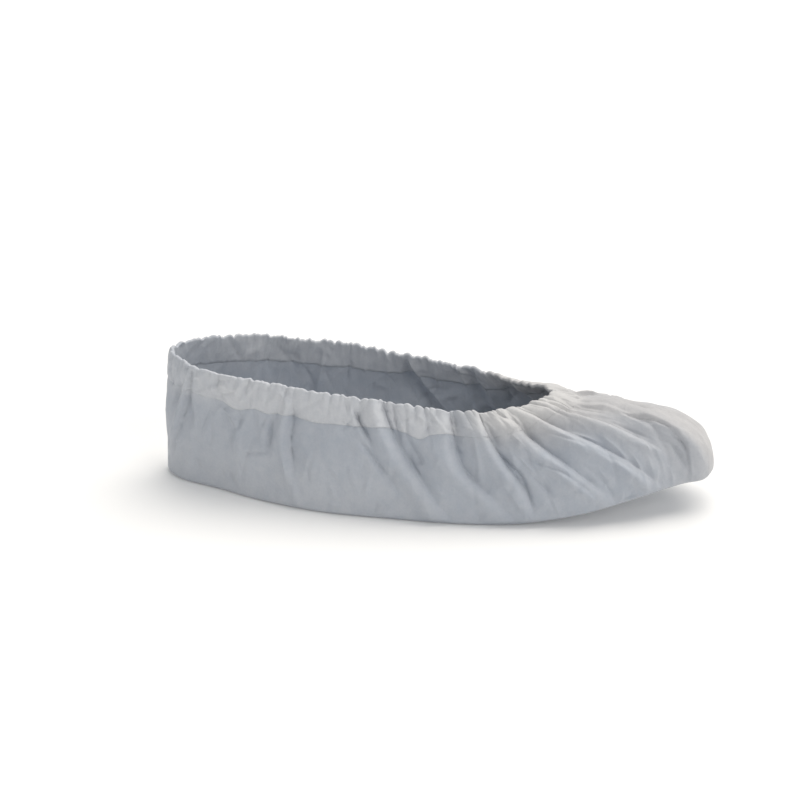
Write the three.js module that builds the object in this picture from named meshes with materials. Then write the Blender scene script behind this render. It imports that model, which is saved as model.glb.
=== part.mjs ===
import * as THREE from 'three';

// Sizes are in millimetres. X points to the toe, Y to the far side and Z up.

// Cloth, hem and elastic. Depths are measured down the cloth from the rim of the opening.
const clothThickness = 1.3;
const hemThickness = 1.2;
const seatGap = 0.35;
const hemDepth = 16.5;
const clothTopDepth = 8.2;
const tunnelTopDepth = 0.9;
const rimRise = 1.0;
const rimRound = 0.7;
const elasticTopDepth = 1.3;
const elasticHeight = 6.5;
const elasticThickness = 0.8;

// Gathers that the elastic draws into the hem.
const columnsPerGather = 4;
const outerGather = 1.5;
const innerGather = 0.8;
const rimScallop = 0.9;
const gatherSwing = 0.45;
const gatherSwingTurns = 17;

// Lift of the sole under the toe.
const toeLift = 18.4;
const toeLiftStart = 40;
const toeLiftEnd = 160;

// Each rib runs from the hem down the wall to the sole edge. Flare is the angle from straight down at
// which the cloth leaves the hem; the pulls are the lengths of the curve handles at its two ends; edge
// is the radius of the rolled sole edge. Rows run from the toe to the heel; near and far are the
// distances to the two sides of the middle.
const ribColumns = [
  'hemX', 'hemNear', 'hemFar', 'hemZ', 'farDrop', 'flare', 'hemPull',
  'wallX', 'wallNear', 'wallFar', 'wallPull', 'edge',
];
const ribTable = {
  toeTip: [67, 2, -2, 61.2, 0, 86, 42.8, 155.8, -3, 3, 34, 2],
  toeInner: [65, 9, 3, 61.4, 2.2, 81, 47.3, 152.2, 13.6, 19, 35.1, 2],
  toeCorner: [61, 15.5, 9, 61.3, 3.2, 84, 41, 141.2, 20, 27.5, 22, 2.4],
  toeSide: [54.5, 22.5, 15, 60.8, 4, 81, 36.8, 120.5, 32.4, 36.5, 21.2, 2.4],
  vampSide: [44.5, 30.5, 22, 60.2, 4, 62, 32, 94, 44, 42, 22, 2.4],
  ballFront: [30, 37.5, 29, 60.4, 3, 45, 24, 60, 50.3, 46.4, 24, 3],
  ball: [8, 41.5, 33.5, 61.9, 2, 30, 22, 20, 54.6, 48.7, 26, 3],
  waistFront: [-20, 42.4, 36, 64.9, 1, 22, 22, -20, 53.3, 47.2, 28, 3],
  waistBack: [-52, 41.2, 37, 67.2, 0, 18, 22, -56, 50.4, 43.7, 28, 3],
  heelFront: [-85, 38.3, 35.5, 70.2, 0, 14, 22, -90, 40.8, 38.2, 30, 3],
  heelSide: [-112, 33.5, 32, 71.6, 0, 12, 22, -118.5, 27.8, 30.8, 30, 3],
  heelCorner: [-135.8, 21, 20, 73, 0, 13, 20, -143.6, 16.4, 18, 31, 2.8],
  heelBack: [-149.8, 0, 0, 73, 0, 17.5, 18.8, -154.4, 0, 0, 32.5, 2.8],
};

// Ribs are counted from the toe (0) along the near side to the heel (12) and back along the far side (24).
// The crease of a fold passes five ribs at even steps between two shares of the wall height (0 rim,
// 1 foot); open is the share at which it has sunk to its depth. Width runs from the crease to the crest,
// reach is the fall behind the crest and panel the rise before the crease; side tells whether the fold
// lies towards higher (1) or lower (-1) ribs.
const foldColumns = [
  'rib1', 'rib2', 'rib3', 'rib4', 'rib5', 'start', 'end', 'open',
  'width', 'height', 'depth', 'reach', 'panel', 'side',
];
const foldTable = {
  toeArc: [1.62, 1.16, 1.4, 1.74, 1.85, 0.36, 1, 0.42, 1.8, 1, 1.8, 9, 6, -1],
  throatTuck: [2.3, 2.33, 2.32, 2.18, 2, -0.15, 0.8, 0.1, 3.6, 1.5, 1.8, 4.8, 6, 1],
  toeTuck: [3.62, 3.46, 3.27, 3.04, 2.51, -0.15, 1.15, 0.1, 4.2, 2.5, 3.4, 10, 8.5, 1],
  vampTuck: [4.02, 4.25, 4.16, 3.85, 3.2, -0.15, 1.15, 0.28, 4.6, 2.8, 3.4, 9.4, 7.5, 1],
  vampCrease: [4.88, 5.14, 5.15, 4.99, 4.93, -0.15, 1.1, 0.08, 4.2, 2.2, 3.4, 6.8, 4.5, 1],
  ballTuck: [5.67, 5.83, 5.83, 5.34, 4.8, -0.15, 1.2, 0.08, 5, 2.4, 3.4, 8, 7, 1],
  waistTuck: [7.21, 6.94, 6.6, 6.16, 5.53, -0.15, 1.2, 0.08, 5, 2.7, 3.4, 10, 7.5, 1],
  waistPleat: [7.55, 7.46, 7.35, 7.22, 7.1, 0.06, 0.72, 0.2, 3.2, 1.1, 2.5, 6, 4, 1],
  waistSwag: [7.4, 7.34, 7.21, 7, 6.7, 0.34, 0.95, 0.42, 4, 0.9, 1.3, 7, 5, 1],
  sidePleat: [8.62, 8.56, 8.56, 8.46, 8.12, -0.15, 1.1, 0.26, 4.5, 1.6, 2.3, 3.2, 4.5, 1],
  heelPleat: [10.72, 10.8, 10.93, 11.12, 11.36, -0.1, 1, 0.18, 3.2, 1.9, 1.7, 2.9, 4, 1],
  farHeelPleat: [13.3, 13.2, 13.1, 13, 12.9, 0, 0.8, 0.1, 5, 1.2, 0.8, 6, 6, -1],
  farSidePleat: [15.5, 15.5, 15.45, 15.6, 15.8, 0, 1, 0.15, 5, 1.5, 1.4, 4.4, 6, -1],
  farWaistTuck: [17, 17.2, 17.5, 17.85, 18.2, 0, 1.2, 0.1, 5.5, 2.3, 2.6, 8.4, 7, -1],
  farBallTuck: [18.45, 18.4, 18.4, 18.75, 19.1, 0, 1.15, 0.1, 5.5, 2.1, 2.4, 6.8, 7, -1],
  farVampTuck: [19.55, 19.4, 19.45, 19.7, 20.1, 0, 1.15, 0.12, 5, 2.2, 2.4, 6, 6, -1],
  farToeTuck: [20.7, 20.65, 20.75, 20.95, 21.3, 0, 1.1, 0.12, 5, 1.9, 1.8, 5.3, 6, -1],
  throatPuff: [22.7, 22.7, 22.6, 22.5, 22.4, -0.15, 0.45, 0.05, 4.5, 1.2, 0.6, 4, 5, -1],
};
const foldFadeIn = 0.12;
const foldFadeOut = 0.35;
const foldSoftness = 1.4;
const foldShare = 0.8;

// Density of the surface: columns round the cover and rows down it. The columns slant forward on their
// way down the sides, as the folds do.
const columnCount = 144;
const columnCrowding = 0.25;
const columnSlant = 0.8;
const wallShares = [0.36, 0.47, 0.58, 0.69, 0.8, 0.91];
const rollSteps = 2;
const halfHeight = 0.5;
const slopeStep = 0.01;

const named = (columns, table) => Object.values(table).map(
  (row) => Object.fromEntries(columns.map((name, place) => [name, row[place]])),
);
const ribs = named(ribColumns, ribTable);
const folds = named(foldColumns, foldTable);

// The near ribs in order, then the far ribs from the heel back to the toe.
const sideCount = ribs.length - 1;
const ribCount = 2 * sideCount;
const farRibs = ribs.slice(1, -1).reverse();
const closedLoop = (nearPoint, farPoint) => new THREE.CatmullRomCurve3(
  [...ribs.map(nearPoint), ...farRibs.map(farPoint)],
  true,
  'catmullrom',
);
const hemLoop = closedLoop(
  (rib) => new THREE.Vector3(rib.hemX, -rib.hemNear, rib.hemZ),
  (rib) => new THREE.Vector3(rib.hemX, rib.hemFar, rib.hemZ - rib.farDrop),
);
const wallLoop = closedLoop(
  (rib) => new THREE.Vector3(rib.wallX, -rib.wallNear, rib.edge),
  (rib) => new THREE.Vector3(rib.wallX, rib.wallFar, rib.edge),
);
const ribShape = (rib) => new THREE.Vector3(rib.flare, rib.hemPull, rib.wallPull);
const shapeLoop = closedLoop(ribShape, ribShape);
const turnOf = (rib) => THREE.MathUtils.euclideanModulo(rib / ribCount, 1);

const soleHeight = (x) => toeLift * THREE.MathUtils.smoothstep(x, toeLiftStart, toeLiftEnd);

// The smooth cover: share 0 is the rim, 1 the foot of the wall and 2 the end of the rolled sole edge.
function smoothSkin(rib, share) {
  const turn = turnOf(rib);
  const hem = hemLoop.getPoint(turn);
  const wall = wallLoop.getPoint(turn);
  const [flareAngle, hemPull, wallPull] = shapeLoop.getPoint(turn).toArray();
  const edge = wall.z;
  wall.z += soleHeight(wall.x);
  if (share > 1) {
    const tangent = wallLoop.getTangent(turn).setZ(0).normalize();
    const angle = (share - 1) * Math.PI / 2;
    const inward = edge * (1 - Math.cos(angle));
    return wall.add(new THREE.Vector3(
      tangent.y * inward,
      -tangent.x * inward,
      -edge * Math.sin(angle),
    ));
  }
  const flare = THREE.MathUtils.degToRad(flareAngle);
  const hemHandle = wall.clone().sub(hem).setZ(0).setLength(hemPull * Math.sin(flare));
  hemHandle.setZ(-hemPull * Math.cos(flare)).add(hem);
  const wallHandle = wall.clone().setZ(wall.z + wallPull);
  return new THREE.CubicBezierCurve3(hem, hemHandle, wallHandle, wall).getPoint(share);
}

// Line of each crease over the ribs, from its start to its end.
const creaseLines = folds.map((fold) => new THREE.SplineCurve(
  [fold.rib1, fold.rib2, fold.rib3, fold.rib4, fold.rib5].map((rib, step) => new THREE.Vector2(rib, step)),
));

// Height of a fold by the distance from its crease.
function foldProfile(off, fold, height, depth) {
  if (off < 0) {
    return -depth * Math.exp(off / fold.panel);
  }
  if (off < fold.width) {
    const turn = THREE.MathUtils.smoothstep(off, 0, fold.width);
    return THREE.MathUtils.lerp(-depth, height, turn);
  }
  return height * Math.exp(-(((off - fold.width) / fold.reach) ** 2));
}

function foldRise(rib, share, ribSpacing) {
  let rise = 0;
  folds.forEach((fold, place) => {
    const along = THREE.MathUtils.clamp((share - fold.start) / (fold.end - fold.start), 0, 1);
    const ribsOff = rib - creaseLines[place].getPoint(along).x;
    const wrapped = ribsOff - ribCount * Math.round(ribsOff / ribCount);
    const off = wrapped * ribSpacing * fold.side / foldSoftness;
    const ridge = THREE.MathUtils.smoothstep(share, fold.start, fold.start + foldFadeIn);
    const crease = THREE.MathUtils.smoothstep(share, fold.open - foldFadeIn, fold.open);
    const fadeOut = 1 - THREE.MathUtils.smoothstep(share, fold.end - foldFadeOut, fold.end);
    const profile = foldProfile(off, fold, fold.height * ridge, fold.depth * crease);
    rise += foldShare * fadeOut * profile;
  });
  return rise;
}

// A point of the folded cloth, moved off its outer face by a distance along the outward direction.
function clothPoint(rib, share, offset) {
  const around = smoothSkin(rib + slopeStep, share).sub(smoothSkin(rib - slopeStep, share));
  const down = smoothSkin(rib, share + slopeStep).sub(smoothSkin(rib, share - slopeStep));
  const ribSpacing = around.length() / (2 * slopeStep);
  const outward = around.cross(down).normalize();
  return smoothSkin(rib, share).addScaledVector(outward, foldRise(rib, share, ribSpacing) + offset);
}

// Share of the wall height that lies a depth below the rim on one rib. A cubic curve leaves its end at
// three handle lengths per unit.
function shareAtDepth(rib, depth) {
  const hemPull = shapeLoop.getPoint(turnOf(rib)).y;
  return depth / (3 * hemPull);
}

// Columns are spaced along the near side at half height, closer together towards the toe, and mirrored
// to the far side.
const halfCount = columnCount / 2;
const nearSide = new THREE.CatmullRomCurve3(
  Array.from({ length: sideCount + 1 }, (_, rib) => smoothSkin(rib, halfHeight)),
);
const nearColumns = Array.from(
  { length: halfCount + 1 },
  (_, column) => {
    const along = column / halfCount;
    return sideCount * nearSide.getUtoTmapping(along - columnCrowding * along * (1 - along));
  },
);
const columnRibs = Array.from(
  { length: columnCount },
  (_, column) => (column <= halfCount ? nearColumns[column] : ribCount - nearColumns[columnCount - column]),
);

// The rib that a column has reached at one share of the height.
function ribAt(column, share) {
  const side = Math.sin(Math.PI * columnRibs[column] / sideCount);
  return columnRibs[column] - columnSlant * side * Math.abs(side) * THREE.MathUtils.clamp(share, 0, 1);
}

// Points of one column at a share of the height, or at a depth below the rim.
const sharePoint = (column, share, offset) => clothPoint(ribAt(column, share), share, offset);
const depthPoint = (column, depth, offset) => sharePoint(
  column,
  shareAtDepth(columnRibs[column], depth),
  offset,
);
const rowOf = (pointAt) => columnRibs.map((_, column) => pointAt(column));

// Joins rows of points into one closed surface; points in the same place become one vertex, and each
// four-cornered cell is split along its shorter diagonal.
function stitch(rows, lastMeetsFirst) {
  const numbers = new Map();
  const vertices = [];
  const numberOf = (point) => {
    const key = point.toArray().map((value) => value.toFixed(3)).join(' ');
    if (!numbers.has(key)) {
      numbers.set(key, vertices.length);
      vertices.push(point);
    }
    return numbers.get(key);
  };
  const index = [];
  const addTriangle = (a, b, c) => {
    if (a !== b && b !== c && c !== a) {
      index.push(a, b, c);
    }
  };
  const addCell = (a, b, c, d) => {
    const slant = vertices[a].distanceTo(vertices[c]) - vertices[b].distanceTo(vertices[d]);
    const [first, second, third, fourth] = slant > 0 ? [b, c, d, a] : [a, b, c, d];
    addTriangle(first, second, third);
    addTriangle(first, third, fourth);
  };
  const grid = rows.map((row) => row.map(numberOf));
  const bandCount = lastMeetsFirst ? rows.length : rows.length - 1;
  for (let band = 0; band < bandCount; band += 1) {
    const upper = grid[band];
    const lower = grid[(band + 1) % rows.length];
    for (let column = 0; column < upper.length; column += 1) {
      const next = (column + 1) % upper.length;
      addCell(upper[column], upper[next], lower[next], lower[column]);
    }
  }
  const geometry = new THREE.BufferGeometry().setFromPoints(vertices);
  geometry.setIndex(index);
  geometry.computeVertexNormals();
  return geometry;
}

// The middle line of the sole, where the near and far halves of a row meet.
const meetInMiddle = (row) => row.map(
  (point, column) => point.clone().add(row[(columnCount - column) % columnCount]).multiplyScalar(0.5),
);

function bodyGeometry() {
  const rollShares = Array.from({ length: rollSteps + 1 }, (_, step) => 1 + step / rollSteps);
  const faceRows = (offset) => [
    ...[clothTopDepth, hemDepth].map((depth) => rowOf((column) => depthPoint(column, depth, offset))),
    ...[...wallShares, ...rollShares].map((share) => rowOf((column) => sharePoint(column, share, offset))),
  ];
  const outerRows = faceRows(0);
  const innerRows = faceRows(-clothThickness);
  return stitch([
    meetInMiddle(innerRows.at(-1)),
    ...innerRows.reverse(),
    ...outerRows,
    meetInMiddle(outerRows.at(-1)),
  ], false);
}

// How far each column of the hem is drawn into a gather, from 0 to about 1.
const gatherAt = (column) => {
  const wave = 0.5 - 0.5 * Math.cos(2 * Math.PI * column / columnsPerGather);
  const swing = Math.sin(2 * Math.PI * gatherSwingTurns * column / columnCount);
  return wave * (1 + gatherSwing * swing);
};

function hemGeometry() {
  const outerSeat = seatGap;
  const innerSeat = -clothThickness - seatGap;
  const outerFace = outerSeat + hemThickness;
  const innerFace = innerSeat - hemThickness;
  const middle = -clothThickness / 2;
  const halfDepth = hemDepth / 2;
  const roundedOff = (face) => THREE.MathUtils.lerp(middle, face, rimRound);
  const section = [
    { depth: hemDepth, offset: outerSeat, gather: 0 },
    { depth: clothTopDepth, offset: outerSeat, gather: 0 },
    { depth: tunnelTopDepth, offset: outerSeat, gather: 0 },
    { depth: tunnelTopDepth, offset: innerSeat, gather: 0 },
    { depth: clothTopDepth, offset: innerSeat, gather: 0 },
    { depth: hemDepth, offset: innerSeat, gather: 0 },
    { depth: hemDepth, offset: innerFace, gather: 0 },
    { depth: halfDepth, offset: innerFace, gather: -innerGather },
    { depth: rimRise, offset: innerFace, gather: -innerGather, scallop: rimScallop },
    { depth: -rimRise, offset: roundedOff(innerFace), gather: 0, scallop: rimScallop },
    { depth: -rimRise, offset: roundedOff(outerFace), gather: 0, scallop: rimScallop },
    { depth: rimRise, offset: outerFace, gather: outerGather, scallop: rimScallop },
    { depth: halfDepth, offset: outerFace, gather: outerGather },
    { depth: hemDepth, offset: outerFace, gather: 0 },
  ];
  const rows = section.map(({ depth, offset, gather, scallop = 0 }) => rowOf((column) => {
    const drawn = gatherAt(column);
    return depthPoint(column, depth - scallop * drawn, offset + gather * drawn);
  }));
  return stitch(rows, true);
}

function elasticGeometry() {
  const middle = -clothThickness / 2;
  const half = elasticThickness / 2;
  const bottomDepth = elasticTopDepth + elasticHeight;
  const section = [
    [bottomDepth, middle + half],
    [bottomDepth, middle - half],
    [elasticTopDepth, middle - half],
    [elasticTopDepth, middle + half],
  ];
  const rows = section.map(([depth, offset]) => rowOf((column) => depthPoint(column, depth, offset)));
  return stitch(rows, true);
}

function pieceMesh(name, geometry, color, roughness) {
  const material = new THREE.MeshStandardMaterial({ color, roughness, metalness: 0 });
  material.name = name;
  const mesh = new THREE.Mesh(geometry, material);
  mesh.name = name;
  return mesh;
}

const shoeCover = new THREE.Group();
shoeCover.name = 'shoe_cover';
shoeCover.add(
  pieceMesh('cover_body', bodyGeometry(), 0xb4bac2, 0.75),
  pieceMesh('hem_casing', hemGeometry(), 0xd2d5d6, 0.75),
  pieceMesh('elastic_band', elasticGeometry(), 0xf0eee8, 0.6),
);

// The middle of the cover's footprint is the origin and the sole stands on Z = 0.
const box = new THREE.Box3().setFromObject(shoeCover);
const boxCentre = box.getCenter(new THREE.Vector3());
for (const mesh of shoeCover.children) {
  mesh.geometry.translate(-boxCentre.x, -boxCentre.y, -box.min.z);
}

export default shoeCover;
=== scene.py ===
import math
import bmesh
import bpy
import numpy as np
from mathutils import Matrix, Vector


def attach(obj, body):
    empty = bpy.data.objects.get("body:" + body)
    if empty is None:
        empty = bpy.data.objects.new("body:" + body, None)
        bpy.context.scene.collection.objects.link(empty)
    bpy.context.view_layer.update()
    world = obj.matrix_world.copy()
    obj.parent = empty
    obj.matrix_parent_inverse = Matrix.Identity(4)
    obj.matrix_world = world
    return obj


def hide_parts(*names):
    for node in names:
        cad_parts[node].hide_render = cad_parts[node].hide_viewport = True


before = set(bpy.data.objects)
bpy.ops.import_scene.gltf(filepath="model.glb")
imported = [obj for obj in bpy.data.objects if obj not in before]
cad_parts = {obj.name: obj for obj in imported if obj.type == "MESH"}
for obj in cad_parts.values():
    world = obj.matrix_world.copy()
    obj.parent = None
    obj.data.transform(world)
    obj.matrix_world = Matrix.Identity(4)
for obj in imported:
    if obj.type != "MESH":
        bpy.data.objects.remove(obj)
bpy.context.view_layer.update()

# camera first: the view along the near side, toe to the right
camera = {
    "azimuth": 9.0,
    "elevation": 21.5,
    "distance": 1.4,
    "lens": 112.4,
    "sensor": 36.0,
    "farthest": 50.0,
    "target": (-0.01987, 0.00312, 0.0498),
}


def addObject(name, data):
    made = bpy.data.objects.new(name, data)
    bpy.context.scene.collection.objects.link(made)
    return made


def placeCamera(look):
    az, el = math.radians(look["azimuth"]), math.radians(look["elevation"])
    back = Vector((math.sin(az) * math.cos(el), -math.cos(az) * math.cos(el), math.sin(el)))
    data = bpy.data.cameras.new("viewCamera")
    data.lens = look["lens"]
    data.sensor_width = look["sensor"]
    data.clip_end = look["farthest"]
    eye = addObject("viewCamera", data)
    eye.location = Vector(look["target"]) + back * look["distance"]
    eye.rotation_euler = back.to_track_quat("Z", "Y").to_euler()
    bpy.context.scene.camera = eye


placeCamera(camera)
print("camera placed")

# the cover's form in millimetres, before it is moved to the middle of its footprint
form = {
    "shift": (0.466, -3.1226, 0.0),
    "toeLift": 18.4,
    "toeLiftRun": (40.0, 160.0),
    "wallHeight": 62.0,
    "rollEnd": 1.2,  # the rolled edge runs on a little past its end, so that slopes can be taken there
    # hemX hemNear hemFar hemZ farDrop flare hemPull wallX wallNear wallFar wallPull edge
    "ribs": {
        "toeTip": (67.0, 2.0, -2.0, 61.2, 0.0, 86, 42.8, 156.3, -3.0, 3.0, 34.0, 2.0),
        "toeInner": (65.0, 9.0, 3.0, 61.4, 2.2, 81, 47.3, 152.6, 13.6, 19.0, 35.1, 2.0),
        "toeCorner": (61.0, 15.5, 9.0, 61.3, 3.2, 84, 41.0, 141.2, 20.0, 27.5, 22.0, 2.4),
        "toeSide": (54.5, 22.5, 15.0, 60.8, 4.0, 81, 36.8, 120.5, 32.4, 36.5, 21.2, 2.4),
        "vampSide": (44.5, 30.5, 22.0, 60.2, 4.0, 62, 32, 94.0, 44.0, 42.0, 22, 2.4),
        "ballFront": (30.0, 37.5, 29.0, 60.4, 3.0, 45, 24, 60.0, 50.3, 46.4, 24, 3.0),
        "ball": (8.0, 41.5, 33.5, 61.9, 2.0, 30, 22, 20.0, 54.6, 48.7, 26, 3.0),
        "waistFront": (-20.0, 42.4, 36.0, 64.9, 1.0, 22, 22, -20.0, 53.3, 47.2, 28, 3.0),
        "waistBack": (-52.0, 41.2, 37.0, 67.2, 0.0, 18, 22, -56.0, 50.4, 43.7, 28, 3.0),
        "heelFront": (-85.0, 38.3, 35.5, 70.2, 0.0, 14, 22, -90.0, 40.8, 38.2, 30, 3.0),
        "heelSide": (-112.0, 33.5, 32.0, 71.6, 0.0, 12, 22, -118.5, 27.8, 30.8, 30, 3.0),
        "heelCorner": (-135.8, 21.0, 20.0, 73.0, 0.0, 13, 20, -143.6, 16.4, 18.0, 31, 2.8),
        "heelBack": (-149.8, 0.0, 0.0, 73.0, 0.0, 17.5, 18.8, -154.4, 0.0, 0.0, 32.5, 2.8),
    },
}
sideRibs = len(form["ribs"]) - 1
allRibs = 2 * sideRibs


# down the near side from toe to heel, then back along the far side
def ribLoop():
    near, far = [], []
    for rib in form["ribs"].values():
        hemX, hemNear, hemFar, hemZ, farDrop, flare, hemPull = rib[:7]
        wallX, wallNear, wallFar, wallPull, edge = rib[7:]
        near.append((hemX, -hemNear, hemZ, flare, hemPull, wallX, -wallNear, wallPull, edge))
        far.append((hemX, hemFar, hemZ - farDrop, flare, hemPull, wallX, wallFar, wallPull, edge))
    return np.array(near + far[-2:0:-1], float)


loopRows = ribLoop()
loopCuts = (3, 4, 5, 7, 8)  # a row holds hem point, flare, hem pull, wall x and y, wall pull, edge radius


# smooth cubic from b to c, with a and d on either side
def cubicThrough(a, b, c, d, f):
    return b + 0.5 * f * (c - a + f * (2 * a - 5 * b + 4 * c - d + f * (3 * b - a - 3 * c + d)))


# closed smooth curve through the rib values, and its slope
def alongLoop(rib):
    i = np.floor(rib).astype(int)
    f = (rib - i)[..., None]
    a, b, c, d = (loopRows[(i + k) % allRibs] for k in (-1, 0, 1, 2))
    slope = 0.5 * (c - a) + f * (2 * a - 5 * b + 4 * c - d) + 1.5 * f * f * (3 * b - a - 3 * c + d)
    return cubicThrough(a, b, c, d, f), slope


def smoothStep(x, low, high):
    t = np.clip((x - low) / (high - low), 0, 1)
    return t * t * (3 - 2 * t)


# up from 0 to 1 over the first run, and down again over the second
def upAndDown(x, upRun, downRun):
    return smoothStep(x, *upRun) * (1 - smoothStep(x, *downRun))


def soleHeight(x):
    return form["toeLift"] * smoothStep(x, *form["toeLiftRun"])


# share 0 is the rim, 1 the foot of the wall, 2 the end of the rolled sole edge
def smoothSkin(rib, share):
    values, slopes = alongLoop(rib)
    hem, flare, hemPull, plan, wallPull, radius = np.split(values, loopCuts, -1)
    wall = np.concatenate([plan, soleHeight(plan[..., :1]) + radius], -1)
    out = plan - hem[..., :2]
    out = out / np.linalg.norm(out, axis=-1, keepdims=True)
    flare = np.radians(flare)
    hemHandle = hem + hemPull * np.concatenate([out * np.sin(flare), -np.cos(flare)], -1)
    wallHandle = wall + wallPull * np.array([0, 0, 1.0])
    b = np.minimum(share, 1.0)[..., None]
    side = hem * (1 - b) ** 3 + 3 * hemHandle * b * (1 - b) ** 2
    side = side + 3 * wallHandle * b * b * (1 - b) + wall * b ** 3
    tangent = np.split(slopes, loopCuts, -1)[3]
    tangent = tangent / np.linalg.norm(tangent, axis=-1, keepdims=True)
    angle = np.clip(share - 1, 0, form["rollEnd"])[..., None] * np.pi / 2
    inward = radius * (1 - np.cos(angle))
    drop = radius * np.sin(angle)
    roll = wall + np.concatenate([tangent[..., 1:] * inward, -tangent[..., :1] * inward, -drop], -1)
    return np.where(share[..., None] <= 1, side, roll)


# point, outward direction and millimetres per rib
def skinFrame(rib, share):
    step = 0.01
    around = smoothSkin(rib + step, share) - smoothSkin(rib - step, share)
    down = smoothSkin(rib, share + step) - smoothSkin(rib, share - step)
    outward = np.cross(around, down)
    outward = outward / np.linalg.norm(outward, axis=-1, keepdims=True)
    return smoothSkin(rib, share), outward, np.linalg.norm(around, axis=-1) / (2 * step)


# the wall's curve leaves the rim at three times the hem's pull for each share
def hemPullAt(rib):
    return np.split(alongLoop(rib)[0], loopCuts, -1)[2][..., 0]


def shareAtDepth(rib, depth):
    return depth / (3 * hemPullAt(rib))


def depthAtShare(rib, share):
    return share * 3 * hemPullAt(rib)


def ribsApart(rib, other):
    return (rib - other + allRibs / 2) % allRibs - allRibs / 2


def ribsFromToe(rib):
    return np.abs(ribsApart(rib, 0.0))


# folds drawn by the elastic; ribs count from the toe along the near side to the heel (12) and back
folds = {
    "fadeIn": 0.12,
    "fadeOut": 0.45,
    "creaseFadeOut": 0.32,
    "rimTight": 0.55,
    "rimTightRun": (0.0, 0.45),
    "rimLow": 0.4,
    "rimLowRun": (0.0, 0.3),
    "reachRun": (0.1, 0.7),
    "roundness": 0.85,
    # five ribs of the crease from its top to its foot, shares where the ridge starts and ends, and where
    # the crease does; then in mm: width from crease to crest, height of the crest, depth of the crease,
    # reach behind the crest at the top and at the foot, reach of the panel before it; last its side
    "rows": {
        "toeArc": ((1.28, 1.01, 1.25, 1.69, 1.95), (0.27, 1.05), (0.42, 1.0),
                   1.8, 1.2, 1.8, (9.0, 9.0), 2.8, -1),
        "throatTuck": ((2.3, 2.33, 2.32, 2.18, 2.0), (-0.15, 0.85), (0.1, 0.75),
                       6.4, 2.5, 2.2, (11.0, 5.0), 8.0, 1),
        "toeTuck": ((3.62, 3.46, 3.2, 2.8, 2.2), (-0.15, 1.2), (0.06, 1.02),
                    7.2, 3.1, 3.0, (9.0, 3.5), 11.0, 1),
        "vampTuck": ((4.02, 4.25, 4.16, 3.85, 3.2), (-0.15, 1.15), (0.26, 0.97),
                     8.2, 3.1, 4.2, (12.0, 4.5), 11.0, 1),
        "vampCrease": ((4.88, 5.14, 5.15, 4.99, 4.93), (-0.15, 1.1), (0.08, 1.0),
                       6.2, 2.3, 4.0, (8.0, 5.0), 4.8, 1),
        "ballTuck": ((5.67, 5.83, 5.83, 5.34, 4.8), (-0.15, 1.25), (0.08, 0.87),
                     8.0, 3.1, 4.2, (11.0, 6.5), 9.5, 1),
        "waistTuck": ((7.21, 6.94, 6.6, 6.16, 5.53), (-0.15, 1.3), (0.08, 0.9),
                      8.2, 3.3, 5.8, (10.0, 6.5), 11.0, 1),
        "waistPleat": ((7.58, 7.45, 7.24, 7.15, 7.0), (0.06, 0.66), (0.18, 0.52),
                       3.4, 1.5, 3.9, (6.0, 6.0), 4.2, 1),
        "waistSwag": ((7.42, 7.2, 6.98, 6.8, 6.6), (0.34, 1.0), (0.46, 0.9),
                      3.6, 1.3, 2.0, (6.0, 6.0), 4.5, 1),
        "sidePleat": ((8.62, 8.56, 8.56, 8.46, 8.12), (-0.15, 1.1), (0.24, 0.85),
                      4.5, 2.3, 4.4, (3.2, 3.2), 4.6, 1),
        "heelPleat": ((10.72, 10.8, 10.93, 11.12, 11.36), (-0.1, 1.0), (0.12, 0.8),
                      2.6, 3.0, 2.4, (2.2, 2.8), 4.0, 1),
        "farHeelPleat": ((13.3, 13.2, 13.1, 13.0, 12.9), (0.0, 0.8), (0.1, 0.7),
                         5.0, 0.5, 0.8, (6.0, 6.0), 6.0, -1),
        "farSidePleat": ((15.5, 15.5, 15.45, 15.6, 15.8), (0.0, 1.0), (0.15, 0.8),
                         5.0, 1.5, 1.4, (5.0, 4.0), 6.0, -1),
        "farWaistTuck": ((17.0, 17.2, 17.5, 17.85, 18.2), (0.0, 1.2), (0.1, 0.9),
                         5.5, 2.3, 2.6, (9.0, 8.0), 7.0, -1),
        "farBallTuck": ((18.45, 18.4, 18.4, 18.75, 19.1), (0.0, 1.15), (0.1, 0.9),
                        5.5, 2.1, 2.4, (8.0, 6.0), 7.0, -1),
        "farVampTuck": ((19.55, 19.4, 19.45, 19.7, 20.1), (0.0, 1.15), (0.12, 1.0),
                        5.0, 2.2, 2.4, (9.0, 4.0), 6.0, -1),
        "farToeTuck": ((20.7, 20.65, 20.75, 20.95, 21.3), (0.0, 1.1), (0.12, 1.0),
                       5.0, 1.9, 1.8, (8.0, 3.5), 6.0, -1),
        "throatPuff": ((22.7, 22.7, 22.6, 22.5, 22.4), (-0.15, 0.75), (0.05, 0.5),
                       4.5, 0.3, 0.3, (5.0, 5.0), 6.0, -1),
    },
}

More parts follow.
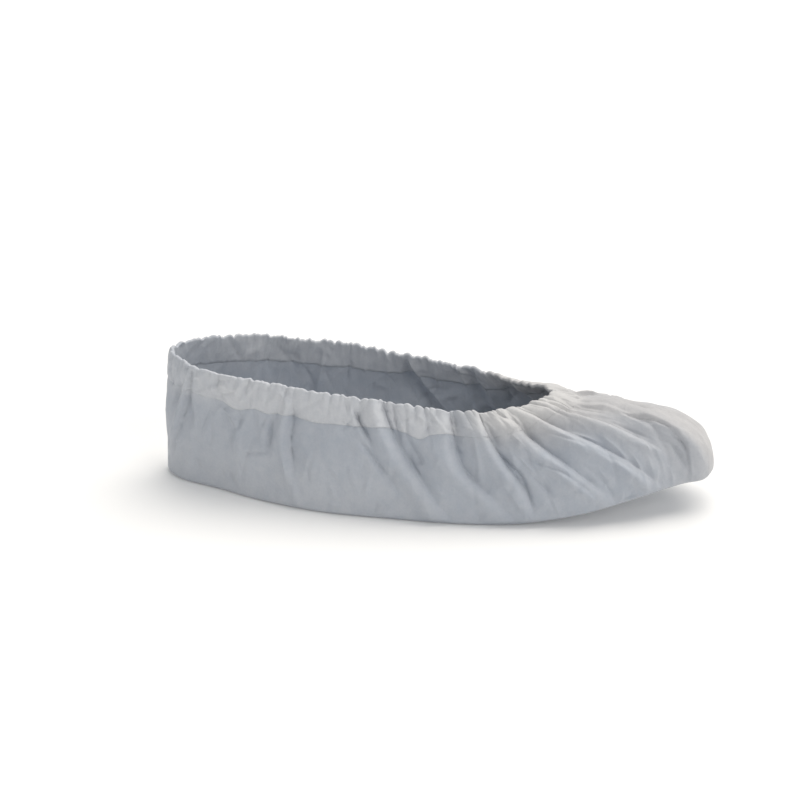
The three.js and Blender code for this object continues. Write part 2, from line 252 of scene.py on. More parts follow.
# short creases: rib and share of each end, width and height in mm
creases = {
    "overrun": (-0.3, 1.3),
    "fadeIn": (-0.2, 0.3),
    "fadeOut": (0.7, 1.2),
    "sharpness": 1.4,
    "rows": {
        "waistNotch": (6.92, -0.04, 6.78, 0.34, 1.3, -1.7),
        "waistWedge": (6.66, 0.29, 6.44, 0.58, 3.6, -2.6),
        "waistBandLine": (6.65, 0.02, 6.66, 0.28, 1.1, -0.9),
        "ballBandLine": (6.26, 0.0, 6.29, 0.22, 1.1, -0.7),
        "ballNotch": (5.64, -0.06, 5.76, 0.2, 1.7, -1.8),
        "ballRib": (5.5, 0.24, 5.63, 0.66, 1.5, 1.6),
        "ballFootRib": (5.3, 0.7, 5.08, 0.94, 1.6, 0.8),
        "vampNotch": (4.97, 0.03, 5.12, 0.33, 2.5, -2.4),
        "vampSlit": (5.18, 0.38, 5.0, 0.62, 1.0, -1.7),
        "vampSlitFoot": (5.0, 0.58, 4.96, 0.9, 1.0, -1.5),
        "vampStreak": (4.58, 0.31, 4.73, 0.51, 1.1, -0.9),
        "footRib": (4.72, 0.84, 4.66, 1.0, 1.5, 0.8),
        "footRibTwin": (4.06, 0.84, 3.97, 1.0, 1.5, 0.7),
        "toeTuckUnder": (3.45, 0.53, 2.72, 0.98, 2.8, -1.4),
        "vampTuckUnder": (4.45, 0.5, 3.97, 0.88, 2.4, -1.6),
        "toeTuckTwin": (2.98, 0.42, 3.05, 0.74, 1.4, 1.0),
        "pinch": (3.3, 0.9, 3.1, 1.0, 1.0, 0.8),
        "pinchTwin": (3.04, 0.92, 2.88, 1.0, 1.0, 0.7),
        "toeStreak": (2.2, 0.58, 2.5, 0.92, 1.3, 0.7),
        "toeStreakTwin": (1.74, 0.56, 2.3, 0.86, 1.2, -0.8),
        "toeStreakBack": (1.74, 0.67, 1.9, 0.88, 1.1, -0.8),
        "lowSwag": (6.85, 0.87, 6.4, 0.98, 2.0, 0.8),
        "heelRib": (9.9, 0.33, 9.64, 0.46, 1.5, 2.2),
        "heelRibFoot": (9.64, 0.45, 9.54, 0.72, 1.5, 2.2),
        "heelRibTop": (10.12, 0.3, 9.7, 0.37, 1.5, 1.0),
        "sidePocket": (9.2, 0.36, 9.14, 0.6, 4.5, -1.2),
        "sideSwag": (8.87, 0.26, 8.93, 0.64, 1.8, -3.2),
        "sideSwagFoot": (9.42, 0.72, 8.95, 0.64, 2.6, -1.3),
        "heelNick": (11.3, 0.1, 11.44, 0.3, 1.2, -1.2),
        "heelValley": (11.1, 0.2, 11.28, 0.46, 1.6, -2.2),
        "bandRib": (9.26, 0.02, 9.6, 0.26, 1.6, 1.0),
        "bandRibTwin": (9.0, 0.03, 9.1, 0.22, 1.3, 0.7),
        "bandFold": (7.74, 0.21, 7.46, 0.27, 1.2, -1.0),
    },
}


# smooth line through evenly spaced values, for a run from 0 to 1
def throughValues(values, run):
    v = np.array([2 * values[0] - values[1], *values, 2 * values[-1] - values[-2]])
    place = np.clip(run, 0, 1) * (len(values) - 1)
    i = np.minimum(place.astype(int), len(values) - 2)
    return cubicThrough(v[i], v[i + 1], v[i + 2], v[i + 3], place - i)


# height of a fold by the distance from its crease: a round turn up to the crest, then a long fall
def foldProfile(off, width, height, depth, reach, panel):
    turn = np.clip(off / width, 0, 1)
    front = (height + depth) * (1 - (1 - turn) ** 2) ** folds["roundness"] - depth
    behind = height * np.exp(-(np.maximum(off - width, 0) / reach) ** 2)
    before = -depth * np.exp(np.minimum(off, 0) / panel)
    return np.where(off < 0, before, np.where(off < width, front, behind))


# how far the folds lift the cloth off the smooth form; at the rim they are tighter and lower
def foldRise(rib, share, spacing):
    rise = np.zeros_like(rib)
    spread = folds["rimTight"] + (1 - folds["rimTight"]) * smoothStep(share, *folds["rimTightRun"])
    lift = folds["rimLow"] + (1 - folds["rimLow"]) * smoothStep(share, *folds["rimLowRun"])
    fadeIn = folds["fadeIn"]
    for row in folds["rows"].values():
        path, (start, end), (opens, closes), width, height, depth, (top, foot), panel, side = row
        along = (share - start) / (end - start)
        off = ribsApart(rib, throughValues(path, along)) * spacing * side / spread
        ridge = upAndDown(share, (start, start + fadeIn), (end - folds["fadeOut"], end))
        crease = upAndDown(share, (opens - fadeIn, opens), (closes - folds["creaseFadeOut"], closes))
        reach = top + (foot - top) * smoothStep(along, *folds["reachRun"])
        rise += foldProfile(off, width, height * ridge * lift, depth * crease, reach, panel)
    return rise


def creaseRise(rib, share, spacing):
    rise = np.zeros_like(rib)
    for ribTop, top, ribFoot, foot, width, height in creases["rows"].values():
        along = (share - top) / (foot - top)
        off = ribsApart(rib, ribTop + (ribFoot - ribTop) * np.clip(along, *creases["overrun"])) * spacing
        fade = upAndDown(along, creases["fadeIn"], creases["fadeOut"])
        rise += height * np.exp(-np.abs(off / width) ** creases["sharpness"]) * fade
    return rise


# gathers of the hem: broad puffs down to the body, and fine ruffles close to the rim; notches, in ribs,
# are set between puffs; pitches, heights and reaches in mm
gathers = {
    "seed": 11,
    "stepsPerRib": 200,
    "notchGap": 0.1,
    "heelRun": (0.42, 0.72),
    "vampRun": (4.2, 5.2),
    "leastHeight": 0.35,
    "moreHeight": 0.9,
    "heightPower": 1.3,
    "lean": (0.65, 1.5),
    "roundness": 0.7,
    "restLevel": 0.65,
    "puffs": {
        "heelPitch": 9.0,
        "vampPitch": 13.0,
        "uneven": 0.5,
        "height": 1.1,
        "vampShare": 0.35,
        "reach": (13.0, 30.0),
        "notches": (1.33, 3.12, 5.01, 5.43, 5.75, 6.3, 6.51, 6.85, 7.01, 7.47, 7.69, 7.98, 8.18),
    },
    "ruffles": {
        "heelPitch": 3.6,
        "vampPitch": 4.6,
        "uneven": 0.5,
        "height": 0.75,
        "vampShare": 0.8,
        "reach": (5.0, 13.0),
        "notches": (),
    },
}


# ribs round the rim, and how far each lies along it
def rimLength():
    ribs = np.linspace(0, allRibs, gathers["stepsPerRib"] * allRibs + 1)
    rim = smoothSkin(ribs, np.zeros_like(ribs))
    steps = np.linalg.norm(np.diff(rim, axis=0), axis=1)
    return ribs, np.concatenate([[0], np.cumsum(steps)])


rimRibs, rimRun = rimLength()


# share of the way from the vamp gathers to the heel gathers
def towardHeel(rib):
    return smoothStep(ribsFromToe(rib) / sideRibs, *gathers["heelRun"])


# one row of gathers round the rim, each with its own width, height, lean and length
class GatherRow:
    def __init__(self, spec, seed):
        rng = np.random.default_rng(seed)
        edges = [0.0]
        notches = np.interp(spec["notches"], rimRibs, rimRun)
        while edges[-1] < rimRun[-1]:
            heel = towardHeel(np.interp(edges[-1], rimRun, rimRibs))
            pitch = spec["vampPitch"] + (spec["heelPitch"] - spec["vampPitch"]) * heel
            place = edges[-1] + pitch * (1 + spec["uneven"] * rng.uniform(-1, 1))
            ahead = notches[notches > edges[-1] + gathers["notchGap"]]
            if len(ahead) and (place > ahead[0] or edges[-1] in notches):
                place = ahead[0]
            edges.append(place)
        self.edges = np.array([*edges[:-1], rimRun[-1]])
        self.count = len(edges) - 1
        chance = rng.uniform(0, 1, self.count) ** gathers["heightPower"]
        self.height = spec["height"] * (gathers["leastHeight"] + gathers["moreHeight"] * chance)
        middles = np.interp(0.5 * (self.edges[1:] + self.edges[:-1]), rimRun, rimRibs)
        onVamp = 1 - smoothStep(ribsFromToe(middles), *gathers["vampRun"])
        self.height *= 1 - (1 - spec["vampShare"]) * onVamp
        self.lean = rng.uniform(*gathers["lean"], self.count)
        self.reach = rng.uniform(*spec["reach"], self.count)

    # how many gathers lie between the toe and a rib
    def turns(self, rib):
        return np.interp(np.interp(rib % allRibs, rimRibs, rimRun), self.edges, np.arange(self.count + 1))

    # value of each gather, blended from the middle of one to the middle of the next
    def blend(self, values, turns):
        place = (turns - 0.5) % self.count
        i = np.floor(place).astype(int)
        this, following = values[i % self.count], values[(i + 1) % self.count]
        return this + (following - this) * (place - i)

    # 0 in the crease between two gathers, 1 on the crest
    def tube(self, rib):
        turns = self.turns(rib)
        i = np.minimum(turns.astype(int), self.count - 1)
        return np.sin(np.pi * np.clip(turns - i, 0, 1) ** self.lean[i]) ** gathers["roundness"]

    def rise(self, rib, depth):
        turns = self.turns(rib)
        fade = np.exp(-(np.maximum(depth, 0) / self.blend(self.reach, turns)) ** 2)
        return self.blend(self.height, turns) * (self.tube(rib) - gathers["restLevel"]) * fade


puffs = GatherRow(gathers["puffs"], gathers["seed"])
ruffles = GatherRow(gathers["ruffles"], gathers["seed"] + 1)
print("rim", round(rimRun[-1]), "mm round,", puffs.count, "puffs,", ruffles.count, "ruffles")


# slow unevenness of the whole cloth, soft swags, and small crisp creases
unevenness = {
    "seed": 5,
    "waves": 9,
    "waveLength": 34.0,
    "waveSpread": (0.6, 1.5),
    "waveHeight": 0.3,
    # count, shortest and longest, narrowest and widest, greatest height, spread of the direction
    "swags": (110, 8.0, 20.0, 2.6, 5.5, 0.75, 0.45),
    "creases": (640, 3.0, 10.0, 0.8, 1.8, 1.5, 0.6),
    "bandCreases": (260, 2.5, 7.0, 0.7, 1.5, 0.8, 0.8),
    "bandFoot": 0.27,
    "topShare": 0.03,
    "shareSpan": 0.97,
    "sharePower": 1.1,
    "lean": 0.15,
    "sharpness": 1.3,
    "soleFade": (0.9, 1.3),
    # calmer on the toe cap and the back of the heel: ribs from the toe, and shares
    "endCalm": 0.65,
    "capRibs": (0.7, 1.8),
    "capShares": (0.3, 0.55),
    "heelRibs": (sideRibs - 1.3, sideRibs - 0.4),
    "heelShares": (0.2, 0.35),
}
rng = np.random.default_rng(unevenness["seed"])
slowWaves = rng.normal(size=(unevenness["waves"], 3))
slowWaves *= 2 * np.pi / unevenness["waveLength"] / np.linalg.norm(slowWaves, axis=1, keepdims=True)
slowWaves *= rng.uniform(*unevenness["waveSpread"], (unevenness["waves"], 1))
slowPhase = rng.uniform(0, 2 * np.pi, unevenness["waves"])


# random lines on the wall: rib, share, direction, length, width and height of each
def scatterLines(count, shortest, longest, narrowest, widest, height, spread, foot=1.0):
    rib = rng.uniform(0, allRibs, count)
    low = rng.uniform(0, 1, count) ** unevenness["sharePower"]
    share = foot * (unevenness["topShare"] + unevenness["shareSpan"] * low)
    turn = rng.normal(unevenness["lean"], spread, count) * np.where(rib < sideRibs, 1, -1)
    length = rng.uniform(shortest, longest, count)
    width = rng.uniform(narrowest, widest, count)
    return list(zip(rib, share, turn, length, width, height * rng.uniform(-1, 1, count)))


wallLines = scatterLines(*unevenness["swags"]) + scatterLines(*unevenness["creases"])
wallLines += scatterLines(*unevenness["bandCreases"], foot=unevenness["bandFoot"])


def unevenRise(point, rib, share, spacing):
    rise = np.zeros_like(rib)
    for wave, phase in zip(slowWaves, slowPhase):
        rise += unevenness["waveHeight"] * np.sin(point @ wave + phase)
    for lineRib, lineShare, turn, length, width, height in wallLines:
        side = ribsApart(rib, lineRib) * spacing
        down = (share - lineShare) * form["wallHeight"]
        along = side * math.sin(turn) + down * math.cos(turn)
        across = side * math.cos(turn) - down * math.sin(turn)
        sharp = np.abs(across / width) ** unevenness["sharpness"]
        rise += height * np.exp(-(along / length) ** 2 - sharp)
    fromToe = ribsFromToe(rib)
    cap = (1 - smoothStep(fromToe, *unevenness["capRibs"])) * smoothStep(share, *unevenness["capShares"])
    heel = smoothStep(fromToe, *unevenness["heelRibs"]) * smoothStep(share, *unevenness["heelShares"])
    calm = 1 - unevenness["endCalm"] * np.maximum(cap, heel)
    return rise * (1 - smoothStep(share, *unevenness["soleFade"])) * calm


def clothPoint(rib, share, offset):
    point, outward, spacing = skinFrame(rib, share)
    depth = depthAtShare(rib, share)
    rise = foldRise(rib, share, spacing) + creaseRise(rib, share, spacing)
    rise = rise + puffs.rise(rib, depth) + ruffles.rise(rib, depth)
    rise = rise + unevenRise(point, rib, share, spacing)
    return point + (rise + offset)[..., None] * outward


# columns are spread at half height, closer over the toe half, and slant forward down the sides
columnSpread = {
    "stepsPerRib": 100,
    "share": 0.5,
    "toeClose": 1.6,
    "heelLess": 0.6,
    "closeRun": (6.8, 8.4),
    "slant": 0.8,
}


def columnRibs(count):
    ribs = np.linspace(0, sideRibs, columnSpread["stepsPerRib"] * sideRibs + 1)
    line = smoothSkin(ribs, np.full_like(ribs, columnSpread["share"]))
    far = smoothStep(ribs[1:], *columnSpread["closeRun"])
    close = columnSpread["toeClose"] - columnSpread["heelLess"] * far
    run = np.concatenate([[0], np.cumsum(np.linalg.norm(np.diff(line, axis=0), axis=1) * close)])
    near = np.interp(np.linspace(0, run[-1], count // 2 + 1), run, ribs)
    return np.concatenate([near, allRibs - near[-2:0:-1]])


def ribAt(columns, share):
    side = np.sin(np.pi * columns / sideRibs)
    return columns - columnSpread["slant"] * side * np.abs(side) * np.clip(share, 0, 1)


# where warm light is painted into the cloth, and where it is paler, from doubled cloth and from painted
# light:
# a strength, and the runs it fades over, in ribs from the toe, shares, mm of depth below the rim, or mm
# along and across
tintsAndPaintedLight = {
    "facing": {"up": 0.7, "ahead": 0.6, "aside": 0.5, "run": (0.15, 1.0)},
    "warmLightCap": {"strength": 0.55, "across": (4.0, 40.0), "along": (70.0, 115.0)},
    "warmLightRim": {"strength": 0.8, "ribs": (4.4, 6.2), "shares": (0.1, 0.5)},
    "band": {"ribs": (5.5, 5.85), "heelLess": 0.6, "heelRibs": (9.8, 11.4)},
    "paleVampDoubledAndLit": {"strength": 0.9, "ribs": (4.9, 6.1), "depths": (7.0, 24.0)},
    "paintedBounceFoot": {"strength": 0.55, "ribs": (5.0, 8.5), "shares": (0.45, 1.0)},
    "paleHeel": {"strength": 0.45, "ribs": (8.9, 10.4), "depths": (15.0, 27.0)},
}


# painted warm light: warmer and lighter where the smooth form faces up and forward, over the toe cap, and
# along the vamp's rim, where the warm top light falls
def paintedWarmLightAt(rib, share):
    facing, cap, rim = tintsAndPaintedLight["facing"], tintsAndPaintedLight["warmLightCap"], tintsAndPaintedLight["warmLightRim"]
    point, outward, _ = skinFrame(rib, share)
    x, y, z = outward[..., 0], outward[..., 1], outward[..., 2]
    upward = facing["up"] * z + facing["ahead"] * x - facing["aside"] * np.abs(y)
    upward = smoothStep(upward, *facing["run"])
    onCap = cap["strength"] * (1 - smoothStep(np.abs(point[..., 1]), *cap["across"]))
    onCap = onCap * smoothStep(point[..., 0], *cap["along"])
    onRim = rim["strength"] * (1 - smoothStep(ribsFromToe(rib), *rim["ribs"]))
    onRim = onRim * (1 - smoothStep(share, *rim["shares"]))
    return 1 - (1 - upward) * (1 - onCap) * (1 - onRim)


# how clearly the doubled band shows against the body: along the sides, less at the heel, not on the vamp
def bandAt(rib):
    band = tintsAndPaintedLight["band"]
    fromToe = ribsFromToe(rib)
    atHeel = 1 - band["heelLess"] * smoothStep(fromToe, *band["heelRibs"])
    return smoothStep(fromToe, *band["ribs"]) * atHeel


# paler without a clear edge: by the rim of the heel, where the cloth is doubled; by the rim of the vamp,
# where it is doubled and the paleness also paints the top light on its lit rolls; and low down, painted
# bounce light from the floor
def doubledAndPaintedLightAt(rib, share):
    vamp, foot, heel = tintsAndPaintedLight["paleVampDoubledAndLit"], tintsAndPaintedLight["paintedBounceFoot"], tintsAndPaintedLight["paleHeel"]
    fromToe = ribsFromToe(rib)
    depth = depthAtShare(rib, share)
    onVamp = vamp["strength"] * (1 - smoothStep(fromToe, *vamp["ribs"]))
    onVamp = onVamp * (1 - smoothStep(depth, *vamp["depths"]))
    bounceOnFoot = foot["strength"] * smoothStep(share, *foot["shares"]) * smoothStep(fromToe, *foot["ribs"])
    onHeel = heel["strength"] * smoothStep(fromToe, *heel["ribs"])
    onHeel = onHeel * (1 - smoothStep(depth, *heel["depths"]))
    return np.maximum(np.maximum(onVamp, onHeel), bounceOnFoot)


perMetre = 1000.0  # millimetres


def addPiece(name, points, faces, **layers):
    mesh = bpy.data.meshes.new(name)
    mesh.from_pydata(((points - np.array(form["shift"])) / perMetre).tolist(), [], faces)
    mesh.update()
    for layer, values in layers.items():
        mesh.attributes.new(layer, "FLOAT", "POINT").data.foreach_set("value", values)
    mesh.polygons.foreach_set("use_smooth", [True] * len(mesh.polygons))
    piece = addObject(name, mesh)
    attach(piece, "root")
    return piece


def stripFaces(rows, columns, closed=False, flip=False):
    faces = []
    for r in range(rows if closed else rows - 1):
        a, b = r * columns, ((r + 1) % rows) * columns
        for c in range(columns):
            n = (c + 1) % columns
            quad = (a + c, a + n, b + n, b + c)
            faces.append(quad[::-1] if flip else quad)
    return faces


# joins points that fall together
def weld(piece, distance):
    net = bmesh.new()
    net.from_mesh(piece.data)
    bmesh.ops.remove_doubles(net, verts=net.verts, dist=distance / perMetre)
    net.to_mesh(piece.data)
    net.free()


def thicken(piece, thickness, side):
    wall = piece.modifiers.new("clothWall", "SOLIDIFY")
    wall.thickness = thickness / perMetre
    wall.offset = side
    graph = bpy.context.evaluated_depsgraph_get()
    mesh = bpy.data.meshes.new_from_object(piece.evaluated_get(graph))
    piece.modifiers.clear()
    old = piece.data
    piece.data = mesh
    bpy.data.meshes.remove(old)


# cover body: one sheet from under the hem down the wall, round the sole edge and across the sole
body = {
    "columns": 860,
    "topDepth": 8.2,
    "wallRows": 46,
    "rollRows": 5,
    "soleRows": 5,
    "thickness": 0.5,
    "wallSide": -1.0,  # all of it inward
    "weld": 0.004,
    "flat": (0.25, 0.50),
    "area": 0.078,
}


def makeBody(spec):
    columns = columnRibs(spec["columns"])
    count = len(columns)
    top = shareAtDepth(columns, spec["topDepth"])
    rows, paintedWarmLight, pale = [], [], []
    shares = [top + (1 - top) * k for k in np.linspace(0, 1, spec["wallRows"])]
    shares += [np.full(count, 1 + k / spec["rollRows"]) for k in range(1, spec["rollRows"] + 1)]
    for share in shares:
        ribs = ribAt(columns, share)
        rows.append(clothPoint(ribs, share, np.zeros(count)))
        # first mask: painted warm light; second: paler doubled cloth, with painted top light on the
        # vamp's rim and painted floor bounce low down
        paintedWarmLight.append(paintedWarmLightAt(ribs, share))
        pale.append(doubledAndPaintedLightAt(ribs, share))
    edge = rows[-1]
    middle = 0.5 * (edge + edge[-np.arange(count) % count])
    for k in range(1, spec["soleRows"]):
        rows.append(edge + (middle - edge) * k / spec["soleRows"])
        paintedWarmLight.append(np.zeros(count))
        pale.append(np.zeros(count))
    faces = stripFaces(len(rows), count)
    # the two halves of the sole meet on its middle line
    last = (len(rows) - 1) * count
    for c in range(count // 2):
        quad = (last + c, last + c + 1, last + count - c - 1, last + (count - c) % count)
        faces.append(tuple(dict.fromkeys(quad)))
    # the layers carry painted warm light, and doubled cloth mixed with painted floor bounce and painted
    # top light
    layers = {"paintedWarmLight": np.concatenate(paintedWarmLight), "band": np.concatenate(pale)}
    piece = addPiece("cover_cloth", np.concatenate(rows), faces, **layers)
    weld(piece, spec["weld"])
    thicken(piece, spec["thickness"], spec["wallSide"])
    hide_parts("cover_body")
    return piece


coverCloth = makeBody(body)
print("cover body", len(coverCloth.data.polygons), "faces")

# hem: a folded strip over the top edge of the body, gathered by the elastic
hem = {
    "columns": 1100,
    "depth": 16.5,
    "outer": 0.65,
    "outerFoot": -0.22,
    "footStep": 0.34,
    "footRun": (0.0, 0.45),
    "footPower": 1.5,
    "inner": -1.4,
    "innerFoot": -0.7,
    "innerFootDepth": 8.0,
    # places where the edge hangs lower or is drawn up: rib, half width in ribs, mm
    "dips": (
        (9.71, 0.27, 4.6), (9.07, 0.16, 2.2), (8.33, 0.3, 1.4), (7.2, 0.25, -1.6), (6.68, 0.14, 2.9),
        (6.15, 0.28, -2.2), (14.35, 0.3, 2.8), (15.3, 0.22, -1.4), (15.95, 0.3, 2.4), (16.95, 0.25, -1.8),
        (17.6, 0.2, 2.2),
    ),
    "rimDepth": 0.7,
    "outerRows": 16,
    "rimRows": 6,
    "innerRows": 9,
    "thickness": 0.35,
    "wallSide": 0.0,  # half to each side
    "puff": 0.4,
    "puffPower": 1.5,
    "puffScallop": 1.3,
    "puffRest": 0.7,
    "ruffleScallop": 1.1,
    "ruffleRest": 0.4,
    "scallopRun": (0, 9),
    "flat": (0.036, 0.62),
}


# depth, offset from the cloth and swell of each row, from the outer foot over the rim to the inner foot
def hemSection(spec, columns):
    foot = np.full_like(columns, spec["depth"])
    for rib, half, dip in spec["dips"]:
        foot += dip * np.exp(-(ribsApart(columns, rib) / half) ** 2)
    outerFoot = spec["outerFoot"] + spec["footStep"] * bandAt(columns)
    section = []
    for k in np.linspace(0, 1, spec["outerRows"]):
        depth = foot + (spec["rimDepth"] - foot) * k
        sunk = (1 - smoothStep(k, *spec["footRun"])) ** spec["footPower"]
        offset = spec["outer"] + (outerFoot - spec["outer"]) * sunk
        section.append((depth, offset, math.sin(math.pi * k ** spec["puffPower"])))
    mid, radius = 0.5 * (spec["outer"] + spec["inner"]), 0.5 * (spec["outer"] - spec["inner"])
    for a in np.linspace(0, math.pi, spec["rimRows"] + 2)[1:-1]:
        depth = np.full_like(columns, spec["rimDepth"] - radius * math.sin(a))
        section.append((depth, mid + radius * math.cos(a), 0.0))
    for k in np.linspace(0, 1, spec["innerRows"]):
        depth = spec["rimDepth"] + (spec["depth"] - spec["rimDepth"]) * k
        inFoot = smoothStep(depth, spec["innerFootDepth"], spec["depth"])
        offset = spec["inner"] + (spec["innerFoot"] - spec["inner"]) * inFoot
        section.append((np.full_like(columns, depth), offset, 0.0))
    return section


def makeHem(spec):
    columns = columnRibs(spec["columns"])
    puff = puffs.tube(columns)
    ruffle = ruffles.tube(columns) * ruffles.blend(ruffles.height, ruffles.turns(columns))
    ruffle = ruffle / ruffles.height.max()
    scallop = spec["puffScallop"] * (puff - spec["puffRest"])
    scallop = scallop + spec["ruffleScallop"] * (ruffle - spec["ruffleRest"])
    rows, paintedWarmLight, band = [], [], []
    for depth, offset, swell in hemSection(spec, columns):
        share = shareAtDepth(columns, depth - scallop * (1 - smoothStep(depth, *spec["scallopRun"])))
        ribs = ribAt(columns, share)
        rows.append(clothPoint(ribs, share, offset + spec["puff"] * swell * puff))
        # first mask: painted warm light; second: the doubled band, with the pale mask's painted top light
        # on the vamp's rim
        paintedWarmLight.append(paintedWarmLightAt(ribs, share))
        band.append(np.maximum(bandAt(ribs), doubledAndPaintedLightAt(ribs, share)))
    faces = stripFaces(len(rows), len(columns), flip=True)
    # the layers carry painted warm light, and doubled cloth mixed with painted light
    layers = {"paintedWarmLight": np.concatenate(paintedWarmLight), "band": np.concatenate(band)}
    piece = addPiece("hem_cloth", np.concatenate(rows), faces, **layers)
    thicken(piece, spec["thickness"], spec["wallSide"])
    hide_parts("hem_casing")
    return piece


hemCloth = makeHem(hem)
print("hem", len(hemCloth.data.polygons), "faces")

# elastic: a flat tape in the tunnel of the hem, thinner at its two edges
elastic = {
    "columns": 1100,
    "topDepth": 2.5,
    "height": 5.0,
    "middle": -0.38,
    "thickness": 0.4,
    "edgeShare": 0.6,
    "rows": 8,
}


def makeElastic(spec):
    columns = columnRibs(spec["columns"])
    depths = spec["topDepth"] + spec["height"] * np.linspace(1, 0, spec["rows"])
    halves = np.full(spec["rows"], spec["thickness"] / 2)
    halves[[0, -1]] *= spec["edgeShare"]
    section = list(zip(depths, halves))
    section += [(depth, -half) for depth, half in section[::-1]]
    rows = []
    for depth, offset in section:
        share = shareAtDepth(columns, depth)
        ribs = ribAt(columns, share)
        rows.append(clothPoint(ribs, share, np.full_like(columns, spec["middle"] + offset)))
    faces = stripFaces(len(rows), len(columns), closed=True, flip=True)
    piece = addPiece("elastic_tape", np.concatenate(rows), faces)
    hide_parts("elastic_band")
    return piece


elasticTape = makeElastic(elastic)
print("elastic", len(elasticTape.data.polygons), "faces")


# shader maths: a socket that can be added, multiplied and taken from numbers
class Wire:
    def __init__(self, finish, socket):
        self.finish, self.socket = finish, socket

    def maths(self, operation, first, second):
        return self.finish.add("ShaderNodeMath", {"operation": operation}, {0: first, 1: second})

    def size(self):
        return self.maths("ABSOLUTE", self, 0.0)

    def __add__(self, other):
        return self.maths("ADD", self, other)

    def __radd__(self, other):
        return self.maths("ADD", other, self)

    def __sub__(self, other):
        return self.maths("SUBTRACT", self, other)

    def __rsub__(self, other):
        return self.maths("SUBTRACT", other, self)

    def __mul__(self, other):
        return self.maths("MULTIPLY", self, other)

    def __rmul__(self, other):
        return self.maths("MULTIPLY", other, self)


class Finish:
    def __init__(self, name):
        self.material = bpy.data.materials.new(name)
        self.material.use_nodes = True
        self.tree = self.material.node_tree
        self.tree.nodes.clear()
        self.shader = self.tree.nodes.new("ShaderNodeBsdfPrincipled")
        output = self.tree.nodes.new("ShaderNodeOutputMaterial")
        self.tree.links.new(self.shader.outputs[0], output.inputs[0])

    def plug(self, socket, value):
        if isinstance(value, Wire):
            self.tree.links.new(value.socket, socket)
        else:
            socket.default_value = value

    def add(self, kind, settings=None, sockets=None, output=0):
        node = self.tree.nodes.new(kind)
        for key, value in (settings or {}).items():
            setattr(node, key, value)
        for key, value in (sockets or {}).items():
            self.plug(node.inputs[key], value)
        return Wire(self, node.outputs[output])

    def noise(self, place, scale, detail):
        return self.add("ShaderNodeTexNoise", None, {"Vector": place, "Scale": scale, "Detail": detail})

    # sockets 6 and 7 and output 2 are the node's colours
    def mixColour(self, factor, first, second):
        return self.add("ShaderNodeMix", {"data_type": "RGBA"}, {0: factor, 6: first, 7: second}, 2)

    def dress(self, piece, **sockets):
        for key, value in sockets.items():
            self.plug(self.shader.inputs[key.replace("_", " ")], value)
        piece.data.materials.clear()
        piece.data.materials.append(self.material)


# body and hem are the same cloth; where it is doubled it looks paler. The side and upper colours are
# shaded and lit copies of it, blended by the painted warm light mask: painted light
clothFinish = {
    # cool, shaded copy of the cloth's colour: painted shade
    "side": (0.398, 0.43, 0.48, 1),
    "sidePale": (0.448, 0.472, 0.513, 1),
    # warm, lighter copy of the same colour: painted top light
    "upper": (0.445, 0.438, 0.44, 1),
    "upperPale": (0.505, 0.495, 0.494, 1),
    # doubled cloth, paler; low on the wall it also stands for painted floor bounce
    "band": (0.505, 0.522, 0.553, 1),
    "bandPale": (0.57, 0.582, 0.603, 1),
    # doubled cloth under painted warm top light
    "upperBand": (0.54, 0.53, 0.52, 1),
    "upperBandPale": (0.6, 0.59, 0.578, 1),
    # scale and detail of each noise
    "fibre": (850.0, 3.0),
    "mottle": (170.0, 5.0),
    "crinkle": (80.0, 2.0),
    "stretch": (1.0, 1.0, 0.6),
    "mottleInCloud": 0.6,
    "fibreInCloud": 0.4,
    "cloudRun": (0.36, 0.64),
    "crinkleHeight": 1.8,
    "fibreHeight": 0.3,
    "mottleHeight": 0.15,
    "bump": 0.0003,
    "roughness": 0.66,
    "mottleRoughness": 0.16,
    "sheen": 0.15,
}
elasticFinish = {
    "tape": (0.78, 0.77, 0.73, 1),
    "tapePale": (0.88, 0.87, 0.84, 1),
    "cells": 900.0,
    "bump": 0.0003,
    "bumpStrength": 0.4,
    "roughness": 0.7,
}


def clothMaterial(name, spec, piece):
    look = Finish(name)
    place = look.add("ShaderNodeTexCoord", output=3)
    # masks: painted warm light, and doubled cloth mixed with painted floor bounce and painted top light
    paintedWarmLight = look.add("ShaderNodeAttribute", {"attribute_name": "paintedWarmLight"}, output=2)
    band = look.add("ShaderNodeAttribute", {"attribute_name": "band"}, output=2)
    fibre = look.noise(place, *spec["fibre"])
    mottle = look.noise(place, *spec["mottle"])
    cloud = mottle * spec["mottleInCloud"] + fibre * spec["fibreInCloud"]
    low, high = spec["cloudRun"]
    cloud = look.add("ShaderNodeMapRange", None, {"Value": cloud, 1: low, 2: high})
    side = look.mixColour(cloud, spec["side"], spec["sidePale"])
    upper = look.mixColour(cloud, spec["upper"], spec["upperPale"])
    doubled = look.mixColour(cloud, spec["band"], spec["bandPale"])
    upperDoubled = look.mixColour(cloud, spec["upperBand"], spec["upperBandPale"])
    # painted light: the shaded side colour blends into the lit upper colour by the painted warm light
    # mask, then toward the doubled colours, which low on the wall paint floor bounce
    single = look.mixColour(paintedWarmLight, side, upper)
    colour = look.mixColour(band, single, look.mixColour(paintedWarmLight, doubled, upperDoubled))
    upright = look.add("ShaderNodeVectorMath", {"operation": "MULTIPLY"}, {0: place, 1: spec["stretch"]})
    crinkle = look.noise(upright, *spec["crinkle"])
    crest = 1.0 - (crinkle * 2.0 - 1.0).size()
    height = crest * crest * spec["crinkleHeight"] + fibre * spec["fibreHeight"]
    height = height + mottle * spec["mottleHeight"]
    bump = look.add("ShaderNodeBump", None, {"Strength": 1.0, "Distance": spec["bump"], "Height": height})
    roughness = spec["roughness"] + spec["mottleRoughness"] * mottle
    look.dress(piece, Base_Color=colour, Roughness=roughness, Normal=bump, Sheen_Weight=spec["sheen"])


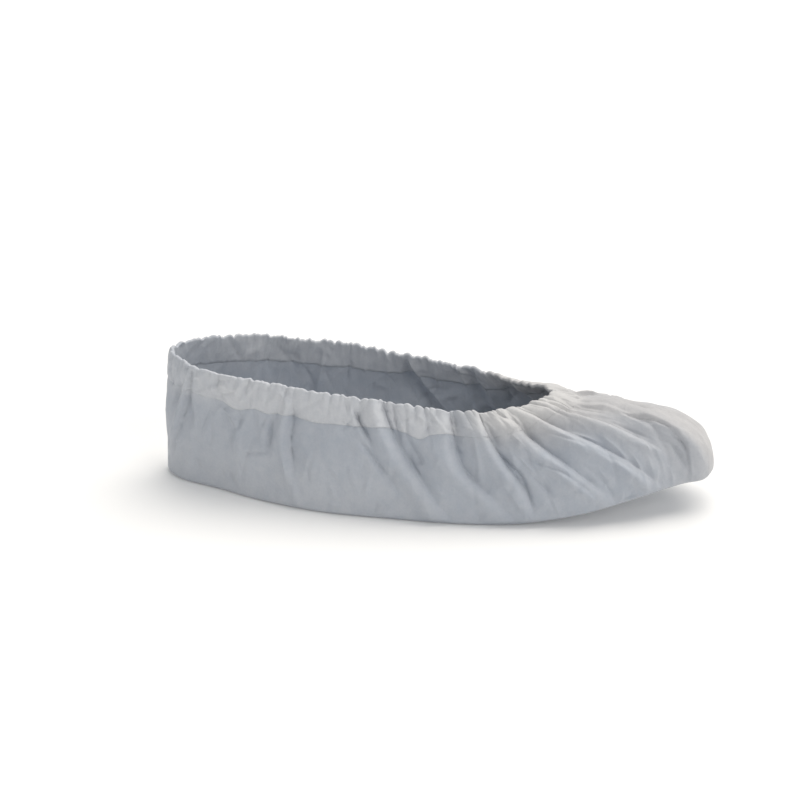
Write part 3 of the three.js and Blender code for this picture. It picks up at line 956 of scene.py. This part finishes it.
# woven tape with small cells
def tapeMaterial(name, spec, piece):
    look = Finish(name)
    place = look.add("ShaderNodeTexCoord", output=3)
    weave = look.add("ShaderNodeTexVoronoi", None, {"Vector": place, "Scale": spec["cells"]})
    colour = look.mixColour(weave, spec["tape"], spec["tapePale"])
    bumpSockets = {"Strength": spec["bumpStrength"], "Distance": spec["bump"], "Height": weave}
    bump = look.add("ShaderNodeBump", None, bumpSockets)
    look.dress(piece, Base_Color=colour, Roughness=spec["roughness"], Normal=bump)


clothMaterial("coverClothFinish", clothFinish, coverCloth)
clothMaterial("hemClothFinish", clothFinish, hemCloth)
tapeMaterial("elasticFinish", elasticFinish, elasticTape)
print("finishes set")

# pale floor, white surround and soft studio lights
stage = {
    "floor": (0.825, 0.82, 0.81, 1),
    "roughness": 0.9,
    "glow": 0.085,
    "glowColour": (1, 1, 1, 1),
    "size": 8.0,
    "below": 0.0002,
    "surround": (0.945, 0.98, 1.02, 1),
    "strength": 0.39,
}
lamps = {
    "topLamp": {"from": (0.3, 0.42, 1.0), "softness": 60.0, "power": 2.65, "tint": (1.0, 0.962, 0.91)},
    "sideLamp": {"from": (0.65, -0.55, 0.5), "softness": 35.0, "power": 0.66, "tint": (1.0, 0.985, 0.97)},
    "heelLamp": {"from": (-0.8, -0.25, 0.45), "softness": 45.0, "power": 0.2, "tint": (1.0, 0.99, 0.98)},
}


def makeFloor(spec):
    mesh = bpy.data.meshes.new("floor")
    s = spec["size"]
    mesh.from_pydata([(-s, -s, 0), (s, -s, 0), (s, s, 0), (-s, s, 0)], [], [(0, 1, 2, 3)])
    floor = addObject("floor", mesh)
    floor.location.z = -spec["below"]
    glow = {"Emission_Color": spec["glowColour"], "Emission_Strength": spec["glow"]}
    Finish("floorFinish").dress(floor, Base_Color=spec["floor"], Roughness=spec["roughness"], **glow)


def makeLights(spec):
    world = bpy.data.worlds.new("surround")
    world.use_nodes = True
    back = world.node_tree.nodes["Background"]
    back.inputs["Color"].default_value = spec["surround"]
    back.inputs["Strength"].default_value = spec["strength"]
    bpy.context.scene.world = world
    for name, lamp in lamps.items():
        data = bpy.data.lights.new(name, "SUN")
        data.angle = math.radians(lamp["softness"])
        data.energy, data.color = lamp["power"], lamp["tint"]
        light = addObject(name, data)
        light.location = lamp["from"]
        light.rotation_euler = Vector(lamp["from"]).to_track_quat("Z", "Y").to_euler()
    bpy.context.scene.view_settings.view_transform = "Standard"


makeFloor(stage)
makeLights(stage)
print("stage lit")
